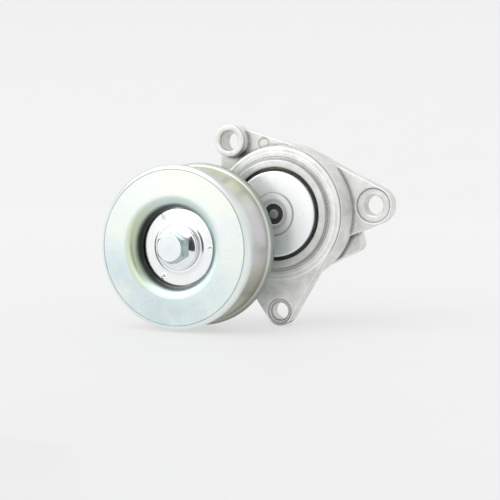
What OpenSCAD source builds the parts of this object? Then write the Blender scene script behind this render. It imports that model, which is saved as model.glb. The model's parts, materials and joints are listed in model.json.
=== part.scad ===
// Automatic belt tensioner: a sprung cast arm carries a smooth back-side idler pulley
// in front of a cast housing with three bolting ears.
// Every axis of rotation runs along Y: -Y faces the belt side, +Y faces the engine.
// The origin is the middle of the lower bolt hole, on that ear's seating face.

/* [Layout] */
// Pivot axis, sideways from the lower bolt hole
pivot_x = -2; // [-4:0.5:1]
// Pivot axis, height above the lower bolt hole
pivot_z = 51; // [49:0.5:56]
// Pulley axis from the pivot axis, sideways
arm_x = -36.6; // [-38:0.2:-35]
// Pulley axis from the pivot axis, in height
arm_z = -15.8; // [-17:0.2:-14]
// Gap between the back of the pulley and the front face of the housing
pulley_gap = 15; // [14.5:0.5:18]

/* [Pulley] */
// Radius of the smooth surface that the belt runs on
belt_r = 40.2; // [39:0.1:41]
// Radius of the rounded front shoulder
shoulder_r = 41.5; // [40.4:0.1:42]
// Radius of the flared rear lip
lip_r = 42.3; // [41.2:0.1:43]
// Width of the pulley
pulley_w = 31.5; // [29:0.5:33]
// Sheet thickness of the pressed steel shell
shell_t = 2.2; // [1.8:0.1:2.6]
// Radius of the bend between the face and the hub tube
bend_r = 8; // [6.5:0.1:8]
// Depth of the bearing behind the pulley face
bearing_depth = 8.4; // [8:0.1:9]

/* [Bearing] */
// Outer radius of the ball bearing
bearing_r = 20; // [19:0.5:20]
// Bore radius of the ball bearing
bearing_bore_r = 8.5; // [8:0.1:8.5]
// Width of the ball bearing
bearing_w = 12; // [12:0.5:13]
// Radius of one ball
ball_r = 3.37; // [3:0.01:3.4]
// Number of balls
ball_count = 8; // [6:1:8]

/* [Pulley bolt] */
// Radius of the bolt shank, M10
bolt_r = 5; // [4:0.5:5]
// Width across the flats of the bolt head
bolt_flats = 14; // [13:1:14]
// Radius of the bolt's flange; the washer under it is slightly wider
flange_r = 11; // [10.5:0.1:12]

/* [Housing] */
// Radius of the housing's front ring
ring_r = 35.3; // [34:0.1:36]
// Radius of the spring cup where it meets the side ear
cup_r = 36.8; // [36.4:0.1:38]
// Depth of the front ring down to the side ear
ring_depth = 16.5; // [14:0.5:18]
// Depth of the whole housing
housing_depth = 38; // [36:0.5:42]
// Outer radius of the raised collar round the hub bore
collar_r = 28.7; // [27.5:0.1:29.5]
// Height of the raised collar
collar_h = 2; // [1:0.1:2.2]
// Radius of the hub bore
hub_bore_r = 24.2; // [24:0.1:25]
// Thickness of the lower ear
ear_t = 9; // [8:0.5:10]
// Radius of the bolt holes in the upper and side ears
bolt_hole_r = 5.2; // [4.5:0.1:5.5]
// Radius of the bolt hole in the lower ear
lower_hole_r = 4.5; // [4:0.5:5]

/* [Pivot] */
// Radius of the pivot shaft
shaft_r = 7; // [6:0.1:7.5]
// Radius of the plated retaining disc
disc_r = 22.3; // [21.5:0.1:22.6]
// Radial running clearance of the plain bearings
run = 0.05; // [0.03:0.01:0.1]
// Mean radius of the torsion spring's coil
coil_r = 18; // [17:0.1:18]
// Radius of the spring wire
wire_r = 2.2; // [1.8:0.1:2.2]

/* [Hidden] */
$fn = 96;
eps = 0.01;          // overlap that keeps cuts clean
play = 0.1;          // axial play between parts that turn on each other
pivot = [pivot_x, pivot_z];
pulley_axis = pivot + [arm_x, arm_z];
arm_angle = atan2(arm_z, arm_x);

// Levels along Y
seat_y = 0;                                   // seating face of the lower ear
face_y = seat_y - ear_t;                      // front face of the housing ring
pulley_y = face_y - pulley_gap - pulley_w;    // front face of the pulley

// Ears, placed from the pivot axis
ear_upper = [-27, 38];
ear_side = [47.5, 4.5];
ear_lower = -pivot;
upper_plate = [7.5, 13];                      // depth of the upper ear's web behind the ring face
side_plate = [ring_depth, 26];                // depth of the side ear's web behind the ring face
upper_boss_r = 8.4;
side_ear_r = 10;
lower_ear_r = 7.5;
spot_depth = 1;                               // depth of the spot faces in the lower and side ears
spot_rim = 0.8;                               // width of the rim left round them
pad_h = 0.6;                                  // height of the machined seating pads
pad_rim = 0.6;                                // width of the step round them
hole_chamfer = 0.6;

// Swing window in the ring, and the arm root that moves in it
window = [141, 260];
window_depth = 6.2;
root = [141.6, 225.4];
beam = [-12.5, -1.2];                         // arm beam, in front of the ring face
root_depth = 5.2;
eye_r = 12;
hub_r = 23.5 - run;
hub_front = -play;
hub_face_t = 4.5;
skirt_end = 12;

// Stack on the pivot, from the ring face
disc_t = 2;
disc_front = -collar_h - 1.2;
disc_back = disc_front + disc_t;
cup_floor = housing_depth - 6;

// Stack on the pulley bolt, from the pulley face
bearing_back = bearing_depth + bearing_w;
shield_t = 1.5;
shield_front = bearing_depth - shield_t;
washer_t = 1.4;
washer_r = flange_r + 0.8;
flange_back = shield_front - washer_t;
head_h = 8.9;
rear_shield_t = 1.6;
arm_eye_front = bearing_back + rear_shield_t;
ball_pitch_r = (bearing_r + bearing_bore_r) / 2;
race_t = 3.6;

// ---------------------------------------------------------------- helpers

function dir(a) = [cos(a), sin(a)];
function arc(c, r, from, to, steps = 8) = [for (i = [0 : steps]) c + r * dir(from + (to - from) * i / steps)];

// The four points where the outer tangents of two circles touch them
function web_points(c1, r1, c2, r2) =
    let (d = c2 - c1, a = atan2(d[1], d[0]), t = acos((r1 - r2) / norm(d)))
    [c1 + r1 * dir(a + t), c1 + r1 * dir(a - t), c2 + r2 * dir(a - t), c2 + r2 * dir(a + t)];

// The point where a tangent from p touches a circle, on the side given by +1 or -1
function touch_point(c, r, p, side) =
    let (d = p - c, a = atan2(d[1], d[0]), t = acos(r / norm(d))) c + r * dir(a + side * t);

module at(axis, y = 0) { translate([axis[0], y, axis[1]]) children(); }
module rod(r, y0, y1) { translate([0, y0, 0]) rotate([-90, 0, 0]) cylinder(r = r, h = y1 - y0); }
module cone(r0, r1, y0, y1) { translate([0, y0, 0]) rotate([-90, 0, 0]) cylinder(r1 = r0, r2 = r1, h = y1 - y0); }
module turned() { rotate([-90, 0, 0]) rotate_extrude() children(); }
module slab(y0, y1) { translate([0, y1, 0]) rotate([90, 0, 0]) linear_extrude(y1 - y0) children(); }

module tube(outer, inner, y0, y1) {
    difference() {
        rod(outer, y0, y1);
        rod(inner, y0 - eps, y1 + eps);
    }
}

// Flat outline of a round ear and the web that joins it to a round body of radius r at the pivot
module web(r, ear, ear_r) {
    polygon(web_points([0, 0], r, ear, ear_r - 0.05));
    translate(ear) circle(ear_r);
}

// Flat sector that reaches past a radius r
module sector(from, to, r) { polygon([[0, 0], each arc([0, 0], r * 1.3, from, to, 6)]); }

// Through hole with a small chamfer at the bolt head's end
module bolt_hole(r, y0, y1) {
    rod(r, y0 - eps, y1 + eps);
    cone(r + hole_chamfer + eps, r, y0 - eps, y0 + hole_chamfer);
}

// ---------------------------------------------------------------- housing

module upper_ear() {
    slab(upper_plate[0], upper_plate[1] - pad_h) web(ring_r + 1, ear_upper, upper_boss_r - 0.4);
    at(ear_upper) rod(upper_boss_r, 0, upper_plate[1]);
}

// The side ear's lower edge runs into the ring wall before it would touch it tangentially
module side_ear() {
    inner_r = side_ear_r - 0.05;
    top = web_points([0, 0], cup_r - 2, ear_side, inner_r);
    heel = (cup_r - 0.5) * dir(-19);
    gusset_end = [35.5, -16];
    slab(side_plate[0], side_plate[1] - pad_h) {
        polygon([top[0], [0, 0], heel, touch_point(ear_side, inner_r, heel, 1), ear_side, top[3]]);
        translate(ear_side) circle(side_ear_r);
    }
    at(ear_side) rod(side_ear_r - pad_rim, side_plate[0] + 2, side_plate[1]);
    slab(side_plate[1] - 4, side_plate[1] + 4) web(cup_r - 2.3, gusset_end, 4.4);
}

module lower_ear() {
    slab(0, ear_t - pad_h) web(ring_r - 0.2, ear_lower, lower_ear_r);
    at(ear_lower) rod(lower_ear_r - pad_rim, 2, ear_t);
}

// Ring with a chamfered front edge, widening a little towards the side ear and narrowing behind it
module ring_wall() {
    chamfer = 1.2;
    turned() polygon([[0, 0], [ring_r - chamfer, 0], [ring_r, chamfer], [cup_r, ring_depth],
        [cup_r - 1.9, side_plate[1]], [cup_r - 3, housing_depth - 2], [cup_r - 4.6, housing_depth],
        [0, housing_depth]]);
}

module collar() {
    rod(collar_r, -collar_h + 0.8, 1);
    cone(collar_r - 0.8, collar_r, -collar_h, -collar_h + 0.8);
}

// Annular weight-saving pocket open to the back, crossed by ribs
module rear_pocket() {
    pocket_inner = hub_bore_r + 3.2;
    pocket_outer = cup_r - 6.6;
    rib_count = 9;
    difference() {
        tube(pocket_outer, pocket_inner, 9, housing_depth + 1);
        for (i = [0 : rib_count - 1])
            rotate([0, i * 360 / rib_count, 0]) translate([-1.6, 0, 0]) cube([3.2, housing_depth + 2, cup_r]);
    }
}

module ear_bores() {
    at(ear_upper) bolt_hole(bolt_hole_r, 0, upper_plate[1]);
    at(ear_side) {
        bolt_hole(bolt_hole_r, side_plate[0] + spot_depth, side_plate[1]);
        rod(side_ear_r - spot_rim, side_plate[0] - 1, side_plate[0] + spot_depth);
    }
    at(ear_lower) {
        bolt_hole(lower_hole_r, spot_depth, ear_t);
        rod(lower_ear_r - spot_rim, -1, spot_depth);
    }
}

module housing() {
    mark_r = 3.2;
    color("silver") at(pivot, face_y) difference() {
        union() {
            ring_wall();
            collar();
            upper_ear();
            side_ear();
            lower_ear();
        }
        rod(hub_bore_r, -collar_h - 1, cup_floor);
        cone(hub_bore_r + 0.5, hub_bore_r, -collar_h - eps, -collar_h + 0.5);
        rod(shaft_r, cup_floor - 1, housing_depth + 1);
        rear_pocket();
        slab(-collar_h - 1, window_depth) intersection() {
            sector(window[0], window[1], cup_r);
            difference() {
                circle(cup_r);
                circle(hub_bore_r - 1);
            }
        }
        ear_bores();
        slab(upper_plate[0] - 1, upper_plate[0] + 0.5) difference() {
            translate([-10.2, 36.6]) circle(mark_r);
            circle(ring_r + 0.8);
        }
    }
}

// ---------------------------------------------------------------- pivot

module pivot_shaft() {
    color("gray") at(pivot, face_y) {
        rod(shaft_r, disc_back, housing_depth + 1);
        cone(shaft_r, shaft_r - 1, housing_depth + 1, housing_depth + 2);
    }
}

// Thin plated disc with a raised middle that holds the hub on its shaft
module retaining_disc() {
    boss_r = 11;
    boss_h = 0.9;
    hole_r = 5.4;
    edge = 0.5;
    color("whitesmoke") at(pivot, face_y) turned() polygon([
        [hole_r, disc_back], [hole_r, disc_front - boss_h + edge], [hole_r + edge, disc_front - boss_h],
        [boss_r - boss_h, disc_front - boss_h], [boss_r, disc_front], [disc_r - edge, disc_front],
        [disc_r, disc_front + edge], [disc_r, disc_back]]);
}

// Upset end of the shaft inside the disc's hole, with a raised nub
module shaft_rivet() {
    nub_r = 2.4;
    color("dimgray") at(pivot, face_y) {
        rod(5.4, disc_back - 1, disc_back);
        rod(nub_r, disc_back - 2.2, disc_back - 0.5);
    }
}

module hub_bush() {
    front = 0.6;
    back = 10;
    color("peru") at(pivot, face_y) difference() {
        tube(hub_bore_r, hub_r + run, front, back);
        slab(front - 1, window_depth) difference() {
            sector(window[0], window[1], cup_r);
            circle(hub_r - 1);
        }
    }
}

module pivot_bush() {
    color("darkkhaki") at(pivot, face_y) tube(shaft_r + 2, shaft_r + run, 1, 19);
}

module thrust_washer() {
    color("ivory") at(pivot, face_y) tube(21, shaft_r + 1, disc_back + play / 2, hub_front);
}

module dust_seal() {
    color("black") at(pivot, face_y) tube(disc_r + 0.8, 21.4, disc_back + play, hub_front);
}

module damping_ring() {
    color("dimgray") at(pivot, face_y) tube(hub_bore_r - run - 0.03, 21.2, skirt_end, skirt_end + 3);
}

// Round wire swept along a helix, with flat closed ends
module torsion_spring() {
    sides = 10;
    per_turn = 30;
    first_y = 5.2 + wire_r;
    last_y = cup_floor - 2.1 - wire_r;
    turns = 5;
    rings = turns * per_turn;
    color("darkslategray") at(pivot, face_y) rotate([-90, 0, 0]) polyhedron(
        points = [for (i = [0 : rings], j = [0 : sides - 1])
            let (a = 360 * i / per_turn, b = 360 * j / sides, r = coil_r + wire_r * cos(b))
            [r * cos(a), r * sin(a), first_y + (last_y - first_y) * i / rings + wire_r * sin(b)]],
        faces = concat(
            [[for (j = [0 : sides - 1]) j]],
            [[for (j = [sides - 1 : -1 : 0]) rings * sides + j]],
            [for (i = [0 : rings - 1], j = [0 : sides - 1]) let (k = (j + 1) % sides)
                [i * sides + j, (i + 1) * sides + j, (i + 1) * sides + k, i * sides + k]]));
}

module spring_seat() {
    color("black") at(pivot, face_y) {
        tube(hub_bore_r - 0.3, 14, cup_floor - 1.8, cup_floor);
        tube(hub_bore_r - 0.3, 21, cup_floor - 5, cup_floor - 1.8);
    }
}

// ---------------------------------------------------------------- swing arm

// Outline of the beam from the pulley eye to the arm root, clear of the retaining disc
module beam_outline() {
    eye = [arm_x, arm_z];
    upper = 32 * dir(root[0] + 6);
    lower = 31 * dir(root[1] - 3);
    difference() {
        union() {
            polygon([touch_point(eye, eye_r, upper, 1), upper, 20 * dir(arm_angle), lower,
                touch_point(eye, eye_r, lower, -1), eye]);
            translate(eye) circle(eye_r);
        }
        circle(disc_r + 0.9);
    }
}

module arm_hub() {
    difference() {
        rod(hub_r, hub_front, skirt_end);
        rod(21, hub_face_t, skirt_end + 1);
    }
    rod(13, hub_front, 20);
}

module swing_arm() {
    eye = [arm_x, arm_z];
    eye_front = pulley_y + arm_eye_front - face_y;
    color("lightgray") at(pivot, face_y) difference() {
        union() {
            arm_hub();
            slab(beam[0], hub_front) beam_outline();
            slab(hub_front, root_depth) intersection() {
                sector(root[0], root[1], ring_r);
                difference() {
                    circle(ring_r);
                    circle(hub_r - 2);
                }
            }
            at(eye) rod(10.5, eye_front, beam[1]);
        }
        rod(shaft_r + 2, hub_front - 1, 21);
        at(eye) rod(bolt_r, eye_front - 1, 1);
    }
}

// ---------------------------------------------------------------- pulley and bearing

// Pressed shell: hub tube, bent face, rounded shoulder, belt surface and flared lip
module pulley_profile() {
    face_edge = shoulder_r - 2.1;
    front_bend = [bearing_r + bend_r, bend_r];
    tube_end = bearing_back + 4;
    belt_start = 4.6;
    flare = 4.5;
    polygon([
        [bearing_r, tube_end],
        each arc(front_bend, bend_r, 180, 270),
        [(front_bend[0] + face_edge) / 2, 0.2],
        [face_edge - 0.7, 0],
        each arc([shoulder_r - 2.4, 2.4], 2.4, 280, 360),
        [shoulder_r, belt_start - 0.9],
        [belt_r, belt_start],
        [belt_r, pulley_w - flare],
        [belt_r + 0.5, pulley_w - flare + 1.7],
        [lip_r, pulley_w - 1.5],
        [lip_r, pulley_w],
        [lip_r - shell_t, pulley_w],
        [lip_r - shell_t, pulley_w - 0.9],
        [belt_r - shell_t, pulley_w - flare + 0.4],
        [belt_r - shell_t, shell_t + 2.2],
        [belt_r - shell_t - 2.2, shell_t],
        each arc(front_bend, bend_r - shell_t, 270, 180),
        [bearing_r + shell_t, tube_end]]);
}

module pulley() { color("gainsboro") at(pulley_axis, pulley_y) turned() pulley_profile(); }

module race(outer, inner) {
    turned() difference() {
        translate([inner, bearing_depth]) square([outer - inner, bearing_w]);
        translate([ball_pitch_r, bearing_depth + bearing_w / 2]) circle(ball_r + 0.1);
    }
}

module bearing_outer_race() { color("silver") at(pulley_axis, pulley_y) race(bearing_r, bearing_r - race_t); }
module bearing_inner_race() { color("silver") at(pulley_axis, pulley_y) race(bearing_bore_r + race_t, bearing_bore_r); }

module bearing_balls() {
    color("silver") at(pulley_axis, pulley_y) for (i = [0 : ball_count - 1])
        at(ball_pitch_r * dir(i * 360 / ball_count), bearing_depth + bearing_w / 2) sphere(ball_r);
}

// Ring with a round pocket for each ball
module bearing_cage() {
    side_gap = 1.9;
    color("goldenrod") at(pulley_axis, pulley_y) difference() {
        tube(ball_pitch_r + 0.9, ball_pitch_r - 0.9, bearing_depth + side_gap, bearing_back - side_gap);
        for (i = [0 : ball_count - 1])
            rotate([0, -i * 360 / ball_count, 0]) translate([ball_pitch_r - 2, bearing_depth + bearing_w / 2, 0])
                rotate([0, 90, 0]) cylinder(r = ball_r + 0.1, h = 4);
    }
}

module bearing_seal(y0) {
    color("black") at(pulley_axis, pulley_y)
        tube(bearing_r - race_t, bearing_bore_r + race_t + 0.25, y0, y0 + 1.2);
}

module bearing_seal_front() { bearing_seal(bearing_depth + 0.3); }
module bearing_seal_rear() { bearing_seal(bearing_back - 1.5); }

// Plated shield in front of the bearing, with a raised middle and three punch marks
module dust_shield() {
    edge_r = 19.6;
    raised_r = 13.5;
    mark_ring_r = 17.4;
    back_gap = 0.5;
    rim_front = shield_front + 0.4;
    color("whitesmoke") at(pulley_axis, pulley_y) difference() {
        turned() polygon([
            [bolt_r, bearing_depth], [bearing_bore_r + race_t, bearing_depth],
            [bearing_bore_r + race_t + 0.5, bearing_depth - back_gap], [edge_r, bearing_depth - back_gap],
            [edge_r, rim_front], [raised_r + 0.4, rim_front], [raised_r, shield_front], [bolt_r, shield_front]]);
        for (a = [0, 120, 240])
            at(mark_ring_r * dir(a)) rod(0.7, rim_front - 1, rim_front + 0.25);
    }
}

module rear_shield() {
    edge_r = 19.3;
    gap = 0.5;
    color("silver") at(pulley_axis, pulley_y) turned() polygon([
        [bolt_r, bearing_back], [bearing_bore_r + race_t, bearing_back],
        [bearing_bore_r + race_t + 0.5, bearing_back + gap], [edge_r, bearing_back + gap],
        [edge_r, bearing_back + gap + 0.8], [13, bearing_back + gap + 0.8],
        [12, arm_eye_front], [bolt_r, arm_eye_front]]);
}

module bearing_sleeve() {
    color("gray") at(pulley_axis, pulley_y) tube(bearing_bore_r, bolt_r, bearing_depth, bearing_back);
}

module bolt_washer() {
    color("whitesmoke") at(pulley_axis, pulley_y) tube(washer_r, bolt_r, flange_back, shield_front);
}

// Hexagon head whose corners are taken down by a cone at the front
module hex_head(front, back) {
    corner_r = bolt_flats / 2 / cos(30);
    crown_r = 6.5;
    crown = 1.2;
    intersection() {
        translate([0, back, 0]) rotate([90, 0, 0]) rotate([0, 0, 30])
            cylinder(r = corner_r, h = back - front, $fn = 6);
        turned() polygon([[0, front], [crown_r, front], [corner_r + 0.1, front + crown],
            [corner_r + 0.1, back], [0, back]]);
    }
}

module pulley_bolt() {
    flange_t = 0.8;
    cone_h = 1.1;
    head_front = flange_back - head_h;
    shank_end = pulley_gap + pulley_w - 4;
    color("whitesmoke") at(pulley_axis, pulley_y) {
        rod(bolt_r, flange_back - eps, shank_end);
        rod(flange_r, flange_back - flange_t, flange_back);
        cone(bolt_flats / 2, flange_r - 0.5, flange_back - flange_t - cone_h, flange_back - flange_t);
        hex_head(head_front, flange_back - flange_t + eps);
    }
}

housing();
swing_arm();
pivot_shaft();
retaining_disc();
shaft_rivet();
hub_bush();
pivot_bush();
thrust_washer();
dust_seal();
damping_ring();
torsion_spring();
spring_seat();
pulley();
bearing_outer_race();
bearing_inner_race();
bearing_balls();
bearing_cage();
bearing_seal_front();
bearing_seal_rear();
dust_shield();
rear_shield();
bearing_sleeve();
bolt_washer();
pulley_bolt();
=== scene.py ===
"""Belt tensioner idler: finished surfaces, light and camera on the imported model."""
import json
import math

import bmesh
import bpy
from mathutils import Matrix, Vector


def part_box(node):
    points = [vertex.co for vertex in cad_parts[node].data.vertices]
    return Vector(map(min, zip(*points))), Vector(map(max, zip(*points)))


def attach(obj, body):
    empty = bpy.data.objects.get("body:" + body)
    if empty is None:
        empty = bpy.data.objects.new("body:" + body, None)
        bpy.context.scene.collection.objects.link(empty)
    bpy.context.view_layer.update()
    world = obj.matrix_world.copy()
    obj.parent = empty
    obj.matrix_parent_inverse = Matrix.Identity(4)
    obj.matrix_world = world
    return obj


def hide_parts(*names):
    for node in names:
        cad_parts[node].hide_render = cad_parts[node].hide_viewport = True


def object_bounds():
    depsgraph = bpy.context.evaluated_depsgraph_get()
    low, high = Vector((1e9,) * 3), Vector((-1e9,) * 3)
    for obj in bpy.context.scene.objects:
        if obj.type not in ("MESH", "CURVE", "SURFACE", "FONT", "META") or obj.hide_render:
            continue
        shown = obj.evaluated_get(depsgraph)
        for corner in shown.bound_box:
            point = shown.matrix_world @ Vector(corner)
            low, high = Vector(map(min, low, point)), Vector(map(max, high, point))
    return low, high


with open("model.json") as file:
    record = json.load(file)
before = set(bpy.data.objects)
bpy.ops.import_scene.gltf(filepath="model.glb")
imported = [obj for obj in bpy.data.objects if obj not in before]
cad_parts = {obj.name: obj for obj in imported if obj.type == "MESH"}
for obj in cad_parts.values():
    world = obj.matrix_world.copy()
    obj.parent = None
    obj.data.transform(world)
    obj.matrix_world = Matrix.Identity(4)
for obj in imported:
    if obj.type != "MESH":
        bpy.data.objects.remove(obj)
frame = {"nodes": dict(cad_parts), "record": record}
cad_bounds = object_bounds()

MM = 0.001
TURN_SEGMENTS = 240
CORNER_STEPS = 5

MOUNTS = {mount["name"]: mount for mount in frame["record"]["mounts"]}
MARK_RING = 17.4                     # ring of the dust shield's punch marks, mm


def middle(node):
    low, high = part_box(node)
    return (low + high) / 2


def radius_mm(node):
    low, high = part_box(node)
    return (high.x - low.x) / 2 / MM


def depth_mm(node):
    """Front and back of a node along Y, in mm."""
    low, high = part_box(node)
    return low.y / MM, high.y / MM


PIVOT = middle("retaining_disc")
RING_FACE = next(joint["pos_m"][1] for joint in frame["record"]["behaviour"]["joints"]
                 if joint["name"] == "arm_swing")
PULLEY = middle("pulley")
TRACK_FRONT = (-0.0080, -0.0050)     # where the track's tint starts and is full, from the pulley's middle
TRACK_BACK = (0.0134, 0.0128)
SHOULDER_BACK = (-0.0060, -0.0085)   # where the shoulder's painted highlight ends and is full
OUTSIDE = (0.0385, 0.0395)           # radii between the pulley's face and its outside, m
SHOULDER_RISE = 1.3                  # shoulder above the belt surface, mm
TUBE_OVERHANG = 4                    # hub tube past the bearing, mm

# Painted shade lines and painted highlight lines on the casting's edges and creases: middle and half width in
# mm, share, grey level
FACE_SHADE_AND_HIGHLIGHT_LINES = ((28.3, 0.45, 0.7, 0.20), (29.9, 0.40, 0.6, 0.22), (32.2, 0.45, 0.6, 1.0), (34.5, 0.6, 0.7, 1.0))
EDGE_SHADE_AND_HIGHLIGHT_LINES = ((1.5, 0.6, 0.8, 0.20), (2.8, 0.8, 0.6, 0.95))

# Bright parts of the white tent: direction, cosines where it starts and is full, extra strength
SOFT_BOXES = (((-0.50, -0.85, 0.10), 0.55, 0.80, 0.75),
              ((-0.40, -0.35, 0.85), 0.74, 0.92, 1.15))
TENT_STRENGTH = 0.80


# ---------------------------------------------------------------- turned pieces

def rounded(corners):
    """A closed outline in (radius, depth) mm whose corners carry their own fillet radius."""
    points = []
    count = len(corners)
    for i, (r, y, fillet) in enumerate(corners):
        here = Vector((r, y))
        before = Vector(corners[i - 1][:2]) - here
        after = Vector(corners[(i + 1) % count][:2]) - here
        turn = before.angle(after, math.pi)
        if fillet <= 0 or turn > math.radians(178):
            points.append(here)
            continue
        reach = min(fillet / math.tan(turn / 2), 0.49 * before.length, 0.49 * after.length)
        start = here + before.normalized() * reach
        end = here + after.normalized() * reach
        true_radius = reach * math.tan(turn / 2)
        centre = here + (before.normalized() + after.normalized()).normalized() * (
            true_radius / math.sin(turn / 2))
        sweep = (start - centre).angle_signed(end - centre)
        steps = max(2, round(abs(sweep) / math.radians(90) * CORNER_STEPS * (2 if fillet > 2 else 1)))
        for k in range(steps + 1):
            spoke = start - centre
            spoke.rotate(Matrix.Rotation(-sweep * k / steps, 2))
            points.append(centre + spoke)
    return points


def turned_mesh(name, points, axis, segments=TURN_SEGMENTS):
    """Turns a closed outline of (radius, depth) mm points about a line along Y through axis."""
    bm = bmesh.new()
    rings = []
    for k in range(segments):
        angle = 2 * math.pi * k / segments
        across, up = MM * math.cos(angle), MM * math.sin(angle)
        rings.append([bm.verts.new((axis.x + r * across, y * MM, axis.z + r * up)) for r, y in points])
    for k in range(segments):
        here, there = rings[k], rings[(k + 1) % segments]
        for i in range(len(points)):
            j = (i + 1) % len(points)
            if points[i][0] > 0 or points[j][0] > 0:
                bm.faces.new((here[i], here[j], there[j], there[i]))
    bmesh.ops.remove_doubles(bm, verts=bm.verts, dist=1e-7)
    bmesh.ops.recalc_face_normals(bm, faces=bm.faces)
    return finished_mesh(name, bm)


def finished_mesh(name, bm):
    mesh = bpy.data.meshes.new(name)
    bm.to_mesh(mesh)
    bm.free()
    mesh.polygons.foreach_set("use_smooth", [True] * len(mesh.polygons))
    return mesh


def add_piece(name, mesh, body, material, slot, *replaced):
    piece = bpy.data.objects.new(name, mesh)
    bpy.context.scene.collection.objects.link(piece)
    mesh.materials.append(material)
    weighted = piece.modifiers.new("flat_faces", "WEIGHTED_NORMAL")
    weighted.weight = 80
    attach(piece, body)
    if replaced:
        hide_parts(*replaced)
    return piece


# ---------------------------------------------------------------- shader helpers

class Shader:
    """A small builder for one material's node tree."""

    def __init__(self, name):
        self.material = bpy.data.materials.new(name)
        self.material.use_nodes = True
        self.tree = self.material.node_tree
        self.tree.nodes.clear()
        self.output = self.tree.nodes.new("ShaderNodeOutputMaterial")
        self.surface = self.tree.nodes.new("ShaderNodeBsdfPrincipled")
        self.tree.links.new(self.surface.outputs[0], self.output.inputs["Surface"])
        self.place = self.node("TexCoord").outputs["Object"]

    def node(self, kind, inputs=None, **settings):
        made = self.tree.nodes.new("ShaderNode" + kind)
        for key, value in settings.items():
            setattr(made, key, value)
        for key, value in (inputs or {}).items():
            self.put(made.inputs[key], value)
        return made

    def put(self, socket, value):
        if isinstance(value, bpy.types.NodeSocket):
            self.tree.links.new(value, socket)
        else:
            socket.default_value = value

    def set(self, name, value):
        self.put(self.surface.inputs[name], value)

    def maths(self, operation, a, b=0.0, clamp=False):
        made = self.node("Math", {0: a, 1: b}, operation=operation)
        made.use_clamp = clamp
        return made.outputs[0]

    def noise(self, size_mm, detail=4.0, rough=0.55, place=None, distortion=0.0):
        """Noise whose blobs are about size_mm across."""
        return self.node("TexNoise", {
            "Vector": place or self.place, "Scale": 1.0 / (size_mm * MM), "Detail": detail,
            "Roughness": rough, "Distortion": distortion}).outputs["Fac"]

    def spread(self, value, low, high, to_low=0.0, to_high=1.0):
        made = self.node("MapRange", {"Value": value, "From Min": low, "From Max": high,
                                      "To Min": to_low, "To Max": to_high})
        made.interpolation_type = "SMOOTHSTEP"
        return made.outputs["Result"]

    def mix(self, share, a, b, blend="MIX"):
        made = self.node("Mix", data_type="RGBA", blend_type=blend)
        self.put(made.inputs["Factor"], share)
        self.put(made.inputs["A"], a)
        self.put(made.inputs["B"], b)
        return made.outputs["Result"]

    def ramp(self, value, stops):
        made = self.node("ValToRGB", {"Fac": value})
        band = made.color_ramp
        while len(band.elements) < len(stops):
            band.elements.new(0.5)
        for element, (position, colour) in zip(band.elements, stops):
            element.position = position
            element.color = colour
        return made.outputs["Color"]

    def bump(self, height, depth_mm, strength=1.0, over=None):
        inputs = {"Height": height, "Distance": depth_mm * MM, "Strength": strength}
        if over is not None:
            inputs["Normal"] = over
        return self.node("Bump", inputs).outputs["Normal"]

    def polar(self, axis):
        """(radius in m, angle in turns, depth in m) about a line along Y through axis."""
        from_axis = self.node("VectorMath", {0: self.place, 1: tuple(axis)}, operation="SUBTRACT").outputs[0]
        parts = self.node("SeparateXYZ", {0: from_axis}).outputs
        squares = self.maths("ADD", self.maths("MULTIPLY", parts["X"], parts["X"]),
                             self.maths("MULTIPLY", parts["Z"], parts["Z"]))
        radius = self.maths("SQRT", squares)
        angle = self.maths("DIVIDE", self.maths("ARCTAN2", parts["Z"], parts["X"]), 2 * math.pi)
        return radius, angle, parts["Y"]

    def line(self, value, centre_mm, half_mm, share=1.0):
        """share inside a thin band of this value, 0 away from it."""
        off = self.maths("ABSOLUTE", self.maths("SUBTRACT", value, centre_mm * MM))
        return self.spread(off, half_mm * MM, half_mm * 0.4 * MM, 0.0, share)

    def turning_marks(self, axis, pitch_mm, waviness=0.15):
        """Noise drawn out into fine rings about a line along Y through axis."""
        radius, angle, depth = self.polar(axis)
        streaks = self.node("CombineXYZ", {
            "X": self.maths("DIVIDE", radius, pitch_mm * MM),
            "Y": self.maths("MULTIPLY", angle, waviness),
            "Z": self.maths("DIVIDE", depth, pitch_mm * MM)}).outputs[0]
        return self.node("TexNoise", {"Vector": streaks, "Scale": 1.0, "Detail": 3.0,
                                      "Roughness": 0.6}).outputs["Fac"]


def grey(level):
    return (level, level, level, 1.0)


# ---------------------------------------------------------------- materials

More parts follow.
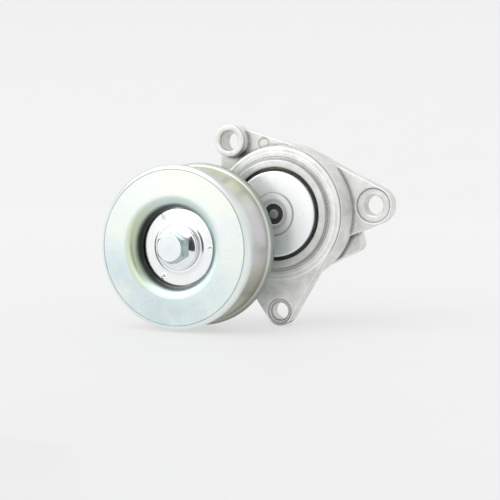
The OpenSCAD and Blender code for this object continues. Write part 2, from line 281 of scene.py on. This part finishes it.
def cast_aluminium(name, level=0.78, ring=True):
    """Die-cast skin: mottled, grainy and pitted, with painted highlights on edges and painted shade in
    creases and corners; ring adds a darker collar and painted shade and highlight lines on the ring's face
    and edge.
    """
    s = Shader(name)
    s.set("Metallic", 0.5)
    cloud = s.noise(8.0, 5.0, 0.6)
    base = s.ramp(cloud, [(0.3, (level * 0.77, level * 0.77, level * 0.72, 1)),
                          (0.7, (level * 1.10, level * 1.10, level * 1.07, 1))])
    speckle = s.noise(0.8, 3.0, 0.6)
    base = s.mix(s.spread(speckle, 0.45, 0.75, 0.0, 0.4), base, grey(level * 1.25))
    edge = s.node("NewGeometry").outputs["Pointiness"]
    # Painted shade in concave creases, painted highlight on convex edges.
    base = s.mix(s.spread(edge, 0.497, 0.46, 0.0, 0.90), base, grey(level * 0.22))
    base = s.mix(s.spread(edge, 0.515, 0.55, 0.0, 0.8), base, grey(0.95))
    # Painted shade in corners and hollows.
    crevice_shade = s.node("AmbientOcclusion", {"Distance": 3.0 * MM}, samples=8).outputs["AO"]
    base = s.mix(s.spread(crevice_shade, 0.92, 0.50, 0.0, 0.90), base, grey(level * 0.12))
    radius, _, depth = s.polar(Vector((PIVOT.x, RING_FACE, PIVOT.z)))
    if ring:
        collar = s.maths("MULTIPLY", s.spread(radius, 0.0292, 0.0287), s.spread(depth, 0.0, -0.0012))
        base = s.mix(s.maths("MULTIPLY", collar, 0.25), base, grey(level * 0.58))
        on_face = s.spread(depth, 0.0009, 0.0005)
        on_edge = s.spread(radius, 0.0338, 0.0344)
        # Painted shade and highlight lines on the ring's face and edge.
        for lines, along, where in ((FACE_SHADE_AND_HIGHLIGHT_LINES, radius, on_face), (EDGE_SHADE_AND_HIGHLIGHT_LINES, depth, on_edge)):
            for centre, half, share, tone in lines:
                band = s.maths("MULTIPLY", s.line(along, centre, half, share), where)
                base = s.mix(band, base, grey(tone))
    pits = s.node("TexVoronoi", {"Vector": s.place, "Scale": 1.0 / (2.3 * MM)}).outputs["Distance"]
    pit_mask = s.spread(pits, 0.04, 0.12, 1.0, 0.0)
    s.set("Base Color", s.mix(s.maths("MULTIPLY", pit_mask, 0.5), base, grey(level * 0.45)))
    s.set("Roughness", s.spread(s.noise(3.0), 0.3, 0.7, 0.30, 0.46))
    peel = s.bump(s.noise(1.6, 2.0), 0.12, 0.5)
    rings = s.turning_marks(PIVOT, 0.25, 0.3)
    faced = s.spread(radius, 0.036, 0.0352)
    peel = s.bump(s.maths("MULTIPLY", rings, faced), 0.02, 0.6, peel)
    grain = s.bump(s.noise(0.28, 3.0, 0.7), 0.05, 0.5, peel)
    s.set("Normal", s.bump(s.maths("MULTIPLY", pit_mask, -1.0), 0.12, 0.6, grain))
    return s.material


def plated_steel(name, axis, base, roughness, metallic=1.0, marks_mm=0.12, mark_depth=0.003):
    """Plated sheet, faintly brushed in rings; base(shader) gives its colour."""
    s = Shader(name)
    s.set("Metallic", metallic)
    rings = s.turning_marks(axis, marks_mm)
    s.set("Base Color", s.mix(s.spread(rings, 0.3, 0.8, 0.0, 0.10), base(s), grey(0.45)))
    haze = s.noise(5.0, 4.0, 0.6)
    s.set("Roughness", s.maths("ADD", s.spread(haze, 0.3, 0.75, -0.03, 0.04),
                               s.maths("ADD", roughness(s), s.spread(rings, 0.35, 0.8, 0.0, 0.05))))
    soft = s.bump(s.noise(3.5, 2.0), 0.015, 0.25)
    s.set("Normal", s.bump(rings, mark_depth, 0.5, soft))
    return s.material


def toward(s, angle, degrees):
    """1 on the side that looks towards this angle, 0 on the opposite side."""
    turned = s.maths("SUBTRACT", s.maths("MULTIPLY", angle, 2 * math.pi), math.radians(degrees))
    return s.node("Math", {0: s.maths("COSINE", turned), 1: 0.5, 2: 0.5},
                  operation="MULTIPLY_ADD").outputs[0]


def passivation_and_painted_light(s):
    """Cream to blue-green round the face with faint patches, teal in the bend with a yellow-green painted
    reflection on its left, painted shade in the recess by the shield, a painted shade line at the face's rim,
    a pale painted highlight on the shoulder with painted shade on its top, a dull lip, and lilac and khaki
    bands on the track, partly the plating's own colour and partly painted reflection, with painted light and
    shade on its sides."""
    radius, angle, depth = s.polar(PULLEY)
    drift = s.spread(s.noise(18.0, 2.0, 0.5, distortion=0.3), 0.3, 0.7, -0.12, 0.12)
    side = s.maths("ADD", toward(s, angle, 252), drift, clamp=True)
    face = s.ramp(side, [(0.0, (0.82, 0.84, 0.77, 1)), (0.45, (0.78, 0.83, 0.80, 1)),
                         (0.8, (0.68, 0.77, 0.77, 1)), (1.0, (0.60, 0.70, 0.72, 1))])
    patches = s.noise(13.0, 1.0, 0.4, distortion=0.6)
    face = s.mix(s.spread(patches, 0.48, 0.72, 0.0, 0.32), face, (0.72, 0.77, 0.88, 1))
    face = s.mix(s.spread(patches, 0.50, 0.28, 0.0, 0.30), face, (0.88, 0.86, 0.74, 1))
    bend = s.spread(radius, 0.0235, 0.0285, 1.0, 0.0)
    teal = s.mix(s.maths("MULTIPLY", bend, 0.7), face, (0.56, 0.70, 0.69, 1))
    # Painted olive reflection on the left side of the bend.
    left = s.spread(toward(s, angle, 180), 0.60, 0.95)
    left_bend = s.spread(radius, 0.0262, 0.0282, 1.0, 0.0)
    face = s.mix(s.maths("MULTIPLY", left_bend, s.maths("MULTIPLY", left, 0.85)), teal, (0.57, 0.64, 0.46, 1))
    # Painted shade in the recess between the bend and the dust shield.
    face = s.mix(s.spread(radius, 0.0230, 0.0203), face, (0.03, 0.035, 0.03, 1))
    # Painted highlight on the rounded shoulder, toned down by painted shade on its top.
    shoulder_highlight = s.maths("MULTIPLY", s.spread(radius, 0.0392, 0.0400), s.spread(depth, *SHOULDER_BACK))
    face = s.mix(s.maths("MULTIPLY", shoulder_highlight, 0.85), face, (0.90, 0.96, 0.95, 1))
    shoulder_top_shade = s.maths("MULTIPLY", shoulder_highlight, s.spread(toward(s, angle, 95), 0.70, 0.90, 0.0, 0.8))
    face = s.mix(shoulder_top_shade, face, (0.72, 0.69, 0.71, 1))
    # Painted shade line at the face's rim.
    rim_shade_line = s.maths("MULTIPLY", s.line(radius, 39.2, 0.35, 0.55), s.spread(depth, -0.0145, -0.0150))
    face = s.mix(rim_shade_line, face, (0.22, 0.26, 0.25, 1))
    flared = s.spread(depth, TRACK_BACK[1], TRACK_BACK[0])
    face = s.mix(flared, face, (0.30, 0.34, 0.29, 1))
    wave = s.noise(11.0, 1.0, 0.4)
    track = s.ramp(wave, [(0.35, (0.56, 0.53, 0.57, 1)), (0.5, (0.57, 0.57, 0.55, 1)),
                          (0.65, (0.55, 0.55, 0.45, 1))])
    # Lilac and khaki tints by side are partly the plating's own colour and partly painted reflection; the
    # brighter and darker sides are painted light and shade.
    track = s.mix(s.spread(toward(s, angle, 0), 0.86, 0.98, 0.0, 0.65), track, (0.60, 0.56, 0.62, 1))
    track = s.mix(s.spread(toward(s, angle, 62), 0.90, 0.99, 0.0, 0.65), track, (0.58, 0.59, 0.46, 1))
    track = s.mix(s.spread(toward(s, angle, 30), 0.70, 0.93), track, (1.32, 1.33, 1.30, 1), "MULTIPLY")
    track = s.mix(s.spread(toward(s, angle, 315), 0.88, 0.98), track, (0.80, 0.80, 0.66, 1), "MULTIPLY")
    track = s.mix(s.spread(toward(s, angle, 95), 0.92, 0.99), track, (0.90, 0.91, 0.90, 1), "MULTIPLY")
    on_track = s.maths("MULTIPLY", s.spread(depth, *TRACK_FRONT), s.spread(depth, *TRACK_BACK))
    outside = s.spread(radius, *OUTSIDE)
    return s.mix(s.maths("MULTIPLY", on_track, outside), face, track)


def white_zinc(s):
    return s.ramp(s.noise(26.0, 2.0, 0.5), [(0.3, (0.86, 0.89, 0.90, 1)), (0.7, (0.90, 0.91, 0.91, 1))])


def disc_white(s):
    """White zinc, a little greyer on the middle and with painted shade in the groove round it."""
    radius = s.polar(PIVOT)[0]
    bright = s.ramp(s.noise(26.0, 2.0, 0.5), [(0.3, (0.94, 0.96, 0.96, 1)), (0.7, (0.97, 0.98, 0.98, 1))])
    middle_tone = s.mix(s.spread(radius, 0.0106, 0.0098), bright, grey(0.86))
    inner_tone = s.mix(s.line(radius, 7.0, 1.3, 0.45), middle_tone, grey(0.42))
    # Painted shade line in the groove round the middle.
    return s.mix(s.line(radius, 10.9, 0.7, 0.75), inner_tone, grey(0.20))


def shield_white(s):
    """White zinc, with painted shade inside the three punch marks."""
    radius, angle, _ = s.polar(PULLEY)
    thirds = s.maths("COSINE", s.maths("MULTIPLY", angle, 6 * math.pi))
    marks = s.maths("MULTIPLY", s.spread(thirds, 0.990, 0.995), s.line(radius, MARK_RING, 0.7))
    broken = s.spread(s.noise(0.7, 2.0), 0.42, 0.55)
    # Painted shade inside the punch marks, broken up by noise.
    return s.mix(s.maths("MULTIPLY", marks, s.maths("MULTIPLY", broken, 0.8)), white_zinc(s), grey(0.12))


def bolt_white(s):
    """White zinc on the faces across the bolt's axis, a painted blue-green reflection on the hexagon's flats.
    """
    radius = s.polar(PULLEY)[0]
    facing = s.node("SeparateXYZ", {0: s.node("NewGeometry").outputs["Normal"]}).outputs["Y"]
    flats = s.maths("MULTIPLY", s.spread(facing, -0.93, -0.80), s.spread(radius, 0.0095, 0.0088))
    white = s.ramp(s.noise(6.0, 2.0), [(0.35, (0.84, 0.88, 0.90, 1)), (0.7, (0.93, 0.95, 0.96, 1))])
    # Painted blue-green reflection on the hexagon's flats and other tilted faces.
    flat_reflection = s.ramp(s.noise(3.0, 2.0), [(0.35, (0.36, 0.47, 0.47, 1)), (0.7, (0.50, 0.60, 0.60, 1))])
    return s.mix(flats, white, flat_reflection)


def pulley_roughness(s):
    """Glossy face, softer bend and outside."""
    radius = s.polar(PULLEY)[0]
    bend = s.spread(radius, 0.030, 0.026, 0.25, 0.33)
    return s.maths("MAXIMUM", bend, s.spread(radius, *OUTSIDE, 0.25, 0.34))


def plain_metal(name, colour, roughness, grain_mm=0.3):
    s = Shader(name)
    s.set("Metallic", 1.0)
    dull = tuple(c * 0.72 for c in colour)
    s.set("Base Color", s.mix(s.noise(4.0), (*colour, 1), (*dull, 1)))
    s.set("Roughness", s.spread(s.noise(1.5), 0.3, 0.7, roughness - 0.07, roughness + 0.08))
    s.set("Normal", s.bump(s.noise(grain_mm, 3.0), 0.02, 0.4))
    return s.material


def rivet_steel():
    """Dark seat round a lighter nub."""
    s = Shader("rivet_steel")
    s.set("Metallic", 0.6)
    radius = s.polar(PIVOT)[0]
    grain = s.noise(0.8, 4.0)
    nub = s.mix(grain, grey(0.30), grey(0.42))
    s.set("Base Color", s.mix(s.spread(radius, 0.0022, 0.0027), nub, grey(0.085)))
    s.set("Roughness", 0.42)
    s.set("Normal", s.bump(grain, 0.05, 0.5))
    return s.material


def dull_polymer(name, colour, roughness=0.6):
    s = Shader(name)
    worn = tuple(min(1, c * 1.7 + 0.02) for c in colour)
    s.set("Base Color", s.mix(s.spread(s.noise(2.0, 5.0), 0.4, 0.8), (*colour, 1), (*worn, 1)))
    s.set("Roughness", s.spread(s.noise(1.0), 0.3, 0.7, roughness - 0.1, roughness + 0.1))
    s.set("Normal", s.bump(s.noise(0.25, 3.0), 0.03, 0.5))
    return s.material


def make_materials():
    return {
        "casting": cast_aluminium("cast_aluminium"),
        "arm": cast_aluminium("arm_aluminium", 0.60, ring=False),
        "yellow_zinc": plated_steel("yellow_zinc", PULLEY, passivation_and_painted_light, pulley_roughness),
        "shield_zinc": plated_steel("shield_zinc", PULLEY, shield_white, lambda s: 0.16),
        "bolt_zinc": plated_steel("bolt_zinc", PULLEY, bolt_white, lambda s: 0.10),
        "disc_zinc": plated_steel("disc_zinc", PIVOT, disc_white, lambda s: 0.30, 0.50, mark_depth=0.001),
        "bearing": plain_metal("bearing_steel", (0.62, 0.63, 0.64), 0.18),
        "dark_steel": plain_metal("dark_steel", (0.10, 0.10, 0.10), 0.42),
        "rivet": rivet_steel(),
        "bronze": plain_metal("bronze", (0.24, 0.20, 0.14), 0.38),
        "brass": plain_metal("brass_cage", (0.55, 0.40, 0.18), 0.3),
        "rubber": dull_polymer("black_rubber", (0.032, 0.032, 0.032), 0.65),
        "polymer": dull_polymer("black_polymer", (0.03, 0.03, 0.03), 0.5),
        "pale_polymer": dull_polymer("pale_polymer", (0.62, 0.58, 0.48), 0.5),
    }


# ---------------------------------------------------------------- pieces

def pulley(materials):
    front, back = depth_mm("pulley")
    lip = radius_mm("pulley")
    belt = MOUNTS["belt_track"]["dims"]["r_mm"]
    tube = radius_mm("bearing_outer_race")
    tube_end = depth_mm("bearing_outer_race")[1] + TUBE_OVERHANG
    shoulder = belt + SHOULDER_RISE
    sheet = 2.2
    points = rounded([
        (tube, tube_end, 0.4), (tube, front, 8.0), (tube + 13, front + 0.15, 5),
        (shoulder - 2.35, front + 0.05, 0.1), (shoulder - 2.2, front + 0.35, 0.1),
        (shoulder - 2.0, front + 0.02, 0.15), (shoulder, front + 1.2, 3.2), (shoulder, front + 5.0, 2.0),
        (belt, front + 7.0, 2.0), (belt, back - 2.9, 0.8), (lip, back - 2.1, 0.3),
        (lip, back - 1.1, 0.1), (lip - 0.3, back - 0.95, 0.1), (lip, back - 0.8, 0.1), (lip, back, 0.4),
        (lip - sheet, back, 0.4), (lip - sheet, back - 1.2, 0.8), (belt - sheet, back - 2.6, 1.0),
        (belt - sheet, front + sheet, 2.2), (tube + sheet, front + sheet, 4.3),
        (tube + sheet, tube_end, 0.4)])
    add_piece("pulley_shell", turned_mesh("pulley_shell", points, PULLEY, 320), "idler",
              materials["yellow_zinc"], "zinc_yellow", "pulley")


def punch_marks(mesh, axis, ring_mm, size_mm, depth, angles):
    """Presses small round marks into a turned face."""
    for vertex in mesh.vertices:
        for angle in angles:
            spot = Vector((axis.x + ring_mm * MM * math.cos(math.radians(angle)), vertex.co.y,
                           axis.z + ring_mm * MM * math.sin(math.radians(angle))))
            away = (vertex.co - spot).length / MM / size_mm
            if away < 2:
                dent = math.exp(-((away - 0.6) * 3.5) ** 2) - 0.35 * math.exp(-((away - 1.3) * 4) ** 2)
                vertex.co.y += depth * MM * dent


def dust_shield(materials):
    front, back = depth_mm("dust_shield")
    rim = radius_mm("dust_shield")
    hole = 5.2
    step = 0.4
    face = [(hole, front, 0.15), (12.9, front, 0.5), (14.0, front + step, 0.5)]
    fine = [(MARK_RING - 1.4 + 0.25 * k, front + step, 0) for k in range(12)]
    edge = [(rim, front + step, 0.25), (rim, front + step + 0.6, 0.2), (12.6, front + step + 0.6, 0.3),
            (12.1, back, 0.2), (hole, back, 0.15)]
    mesh = turned_mesh("dust_shield_plate", rounded(face + fine + edge), PULLEY, 420)
    punch_marks(mesh, PULLEY, MARK_RING, 0.75, 0.35, (0, 120, 240))
    add_piece("dust_shield_plate", mesh, "arm", materials["shield_zinc"], "zinc_bright", "dust_shield")


def bolt_washer(materials):
    front, back = depth_mm("bolt_washer")
    outer = radius_mm("bolt_washer")
    points = rounded([(5.2, front, 0.2), (outer, front, 0.45), (outer, back, 0.35), (5.2, back, 0.2)])
    add_piece("bolt_washer_ring", turned_mesh("bolt_washer_ring", points, PULLEY), "arm",
              materials["shield_zinc"], "zinc_bright", "bolt_washer")


def retaining_disc(materials):
    front, back = depth_mm("retaining_disc")
    outer = radius_mm("retaining_disc")
    boss = 0.9
    points = rounded([
        (5.4, back, 0.2), (5.4, front + 0.3, 0.4), (8.5, front + 0.3, 1.0), (10.6, front + 0.42, 0.3),
        (11.0, front + boss, 0.2), (outer, front + boss, 0.9), (outer, back, 0.3)])
    add_piece("retaining_disc_plate", turned_mesh("retaining_disc_plate", points, PIVOT), "base",
              materials["disc_zinc"], "zinc_bright", "retaining_disc")


def shaft_rivet(materials):
    front, back = depth_mm("shaft_rivet")
    outer = radius_mm("shaft_rivet")
    face = back - 1.0
    points = rounded([(0.0, back, 0), (0.0, front, 0), (2.4, front, 0.7), (2.5, face, 0.3),
                      (outer, face, 0.3), (outer, back, 0.2)])
    add_piece("shaft_rivet_head", turned_mesh("shaft_rivet_head", points, PIVOT, 96), "base",
              materials["rivet"], "dark_steel", "shaft_rivet")


def soften_casting(node, voxel_mm, rounds, material):
    """Gives a carried-over casting the rounded edges and fillets of a die-cast part."""
    part = frame["nodes"][node]
    part.data.materials.clear()
    part.data.materials.append(material)
    remesh = part.modifiers.new("skin", "REMESH")
    remesh.mode = "VOXEL"
    remesh.voxel_size = voxel_mm * MM
    remesh.use_smooth_shade = True
    smooth = part.modifiers.new("fillets", "SMOOTH")
    smooth.factor = 0.5
    smooth.iterations = rounds


def paint(materials):
    """Materials of the carried-over nodes."""
    looks = {
        "dark_steel": ("pivot_shaft", "torsion_spring", "bearing_sleeve"),
        "bronze": ("hub_bush", "pivot_bush"),
        "pale_polymer": ("thrust_washer",),
        "rubber": ("dust_seal", "bearing_seal_front", "bearing_seal_rear"),
        "polymer": ("damping_ring", "spring_seat"),
        "bearing": ("bearing_outer_race", "bearing_inner_race", "bearing_balls"),
        "brass": ("bearing_cage",),
        "shield_zinc": ("rear_shield",),
    }
    for look, nodes in looks.items():
        for node in nodes:
            part = frame["nodes"][node]
            part.data.materials.clear()
            part.data.materials.append(materials[look])


# ---------------------------------------------------------------- stage

def floor():
    """A pale sweep: flat floor that curves up into a backdrop."""
    low = cad_bounds[0]
    depth, width, height, bend = 1.6, 6.0, 2.5, 0.5
    profile = [(-2.5, 0.0), (depth - bend, 0.0)]
    profile += [(depth - bend + bend * math.sin(a), bend - bend * math.cos(a))
                for a in (math.radians(90) * k / 12 for k in range(1, 13))]
    profile += [(depth, height)]
    bm = bmesh.new()
    rows = [[bm.verts.new((x, y, low.z + z)) for x in (-width / 2, width / 2)] for y, z in profile]
    for a, b in zip(rows, rows[1:]):
        bm.faces.new((a[0], a[1], b[1], b[0]))
    sweep = bpy.data.objects.new("floor", finished_mesh("floor", bm))
    bpy.context.scene.collection.objects.link(sweep)
    s = Shader("pale_floor")
    paper = s.mix(s.noise(60.0), grey(0.24), grey(0.25))
    s.set("Base Color", paper)
    s.set("Emission Color", grey(1.0))
    s.set("Emission Strength", 0.56)
    s.set("Roughness", 0.6)
    s.set("Specular IOR Level", 0.1)
    sweep.data.materials.append(s.material)


def camera_card():
    """A small dark board in front of the bolt: only reflections see it."""
    low = cad_bounds[0]
    left, right, bottom, top, front = -0.027, 0.044, low.z, low.z + 0.155, -0.28
    bm = bmesh.new()
    bm.faces.new([bm.verts.new(c) for c in (
        (left, front, bottom), (right, front, bottom), (right, front, top), (left, front, top))])
    card = bpy.data.objects.new("camera_card", finished_mesh("camera_card", bm))
    bpy.context.scene.collection.objects.link(card)
    s = Shader("card")
    s.set("Base Color", s.mix(s.noise(90.0), grey(0.02), grey(0.04)))
    s.set("Roughness", 0.8)
    card.data.materials.append(s.material)
    card.visible_camera = card.visible_diffuse = card.visible_shadow = False


def lobe(tree, direction, middle_of_box, start, full):
    """1 where the sky direction lies close to this one."""
    dot = tree.nodes.new("ShaderNodeVectorMath")
    dot.operation = "DOT_PRODUCT"
    tree.links.new(direction, dot.inputs[0])
    dot.inputs[1].default_value = Vector(middle_of_box).normalized()
    band = tree.nodes.new("ShaderNodeMapRange")
    band.interpolation_type = "SMOOTHSTEP"
    tree.links.new(dot.outputs["Value"], band.inputs["Value"])
    band.inputs["From Min"].default_value = start
    band.inputs["From Max"].default_value = full
    return band.outputs["Result"]


def lights():
    """A white tent: even all round, with a large soft box on the left in front and a stronger one above."""
    world = bpy.data.worlds.new("studio")
    bpy.context.scene.world = world
    world.use_nodes = True
    tree = world.node_tree
    background = tree.nodes["Background"]
    background.inputs["Color"].default_value = (0.985, 1.0, 1.0, 1)
    direction = tree.nodes.new("ShaderNodeTexCoord").outputs["Generated"]
    total = TENT_STRENGTH
    for middle_of_box, start, full, power in SOFT_BOXES:
        add = tree.nodes.new("ShaderNodeMath")
        add.operation = "MULTIPLY_ADD"
        tree.links.new(lobe(tree, direction, middle_of_box, start, full), add.inputs[0])
        add.inputs[1].default_value = power
        if isinstance(total, float):
            add.inputs[2].default_value = total
        else:
            tree.links.new(total, add.inputs[2])
        total = add.outputs[0]
    tree.links.new(total, background.inputs["Strength"])
    bpy.context.scene.view_settings.view_transform = "Standard"


def camera():
    """Long lens, a little to the right of the pulley's axis and slightly above it."""
    azimuth, elevation = math.radians(23.8), math.radians(4.3)
    distance = 0.5987
    aside, below = 0.0388, 0.0010
    face = Vector((PULLEY.x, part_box("pulley")[0].y, PULLEY.z))
    back = Vector((math.sin(azimuth) * math.cos(elevation), -math.cos(azimuth) * math.cos(elevation),
                   math.sin(elevation)))
    right = Vector((math.cos(azimuth), math.sin(azimuth), 0))
    up = back.cross(right)
    lens = bpy.data.cameras.new("camera")
    lens.sensor_width = 36
    lens.lens = 86.4
    lens.clip_start, lens.clip_end = 0.01, 20
    holder = bpy.data.objects.new("camera", lens)
    holder.location = face + back * distance + right * aside - up * below
    holder.rotation_euler = back.to_track_quat("Z", "Y").to_euler()
    bpy.context.scene.collection.objects.link(holder)
    bpy.context.scene.camera = holder


materials = make_materials()
soften_casting("housing", 0.34, 3, materials["casting"])
soften_casting("swing_arm", 0.5, 3, materials["arm"])
soften_casting("pulley_bolt", 0.12, 2, materials["bolt_zinc"])
pulley(materials)
dust_shield(materials)
bolt_washer(materials)
retaining_disc(materials)
shaft_rivet(materials)
paint(materials)
floor()
camera_card()
lights()
camera()
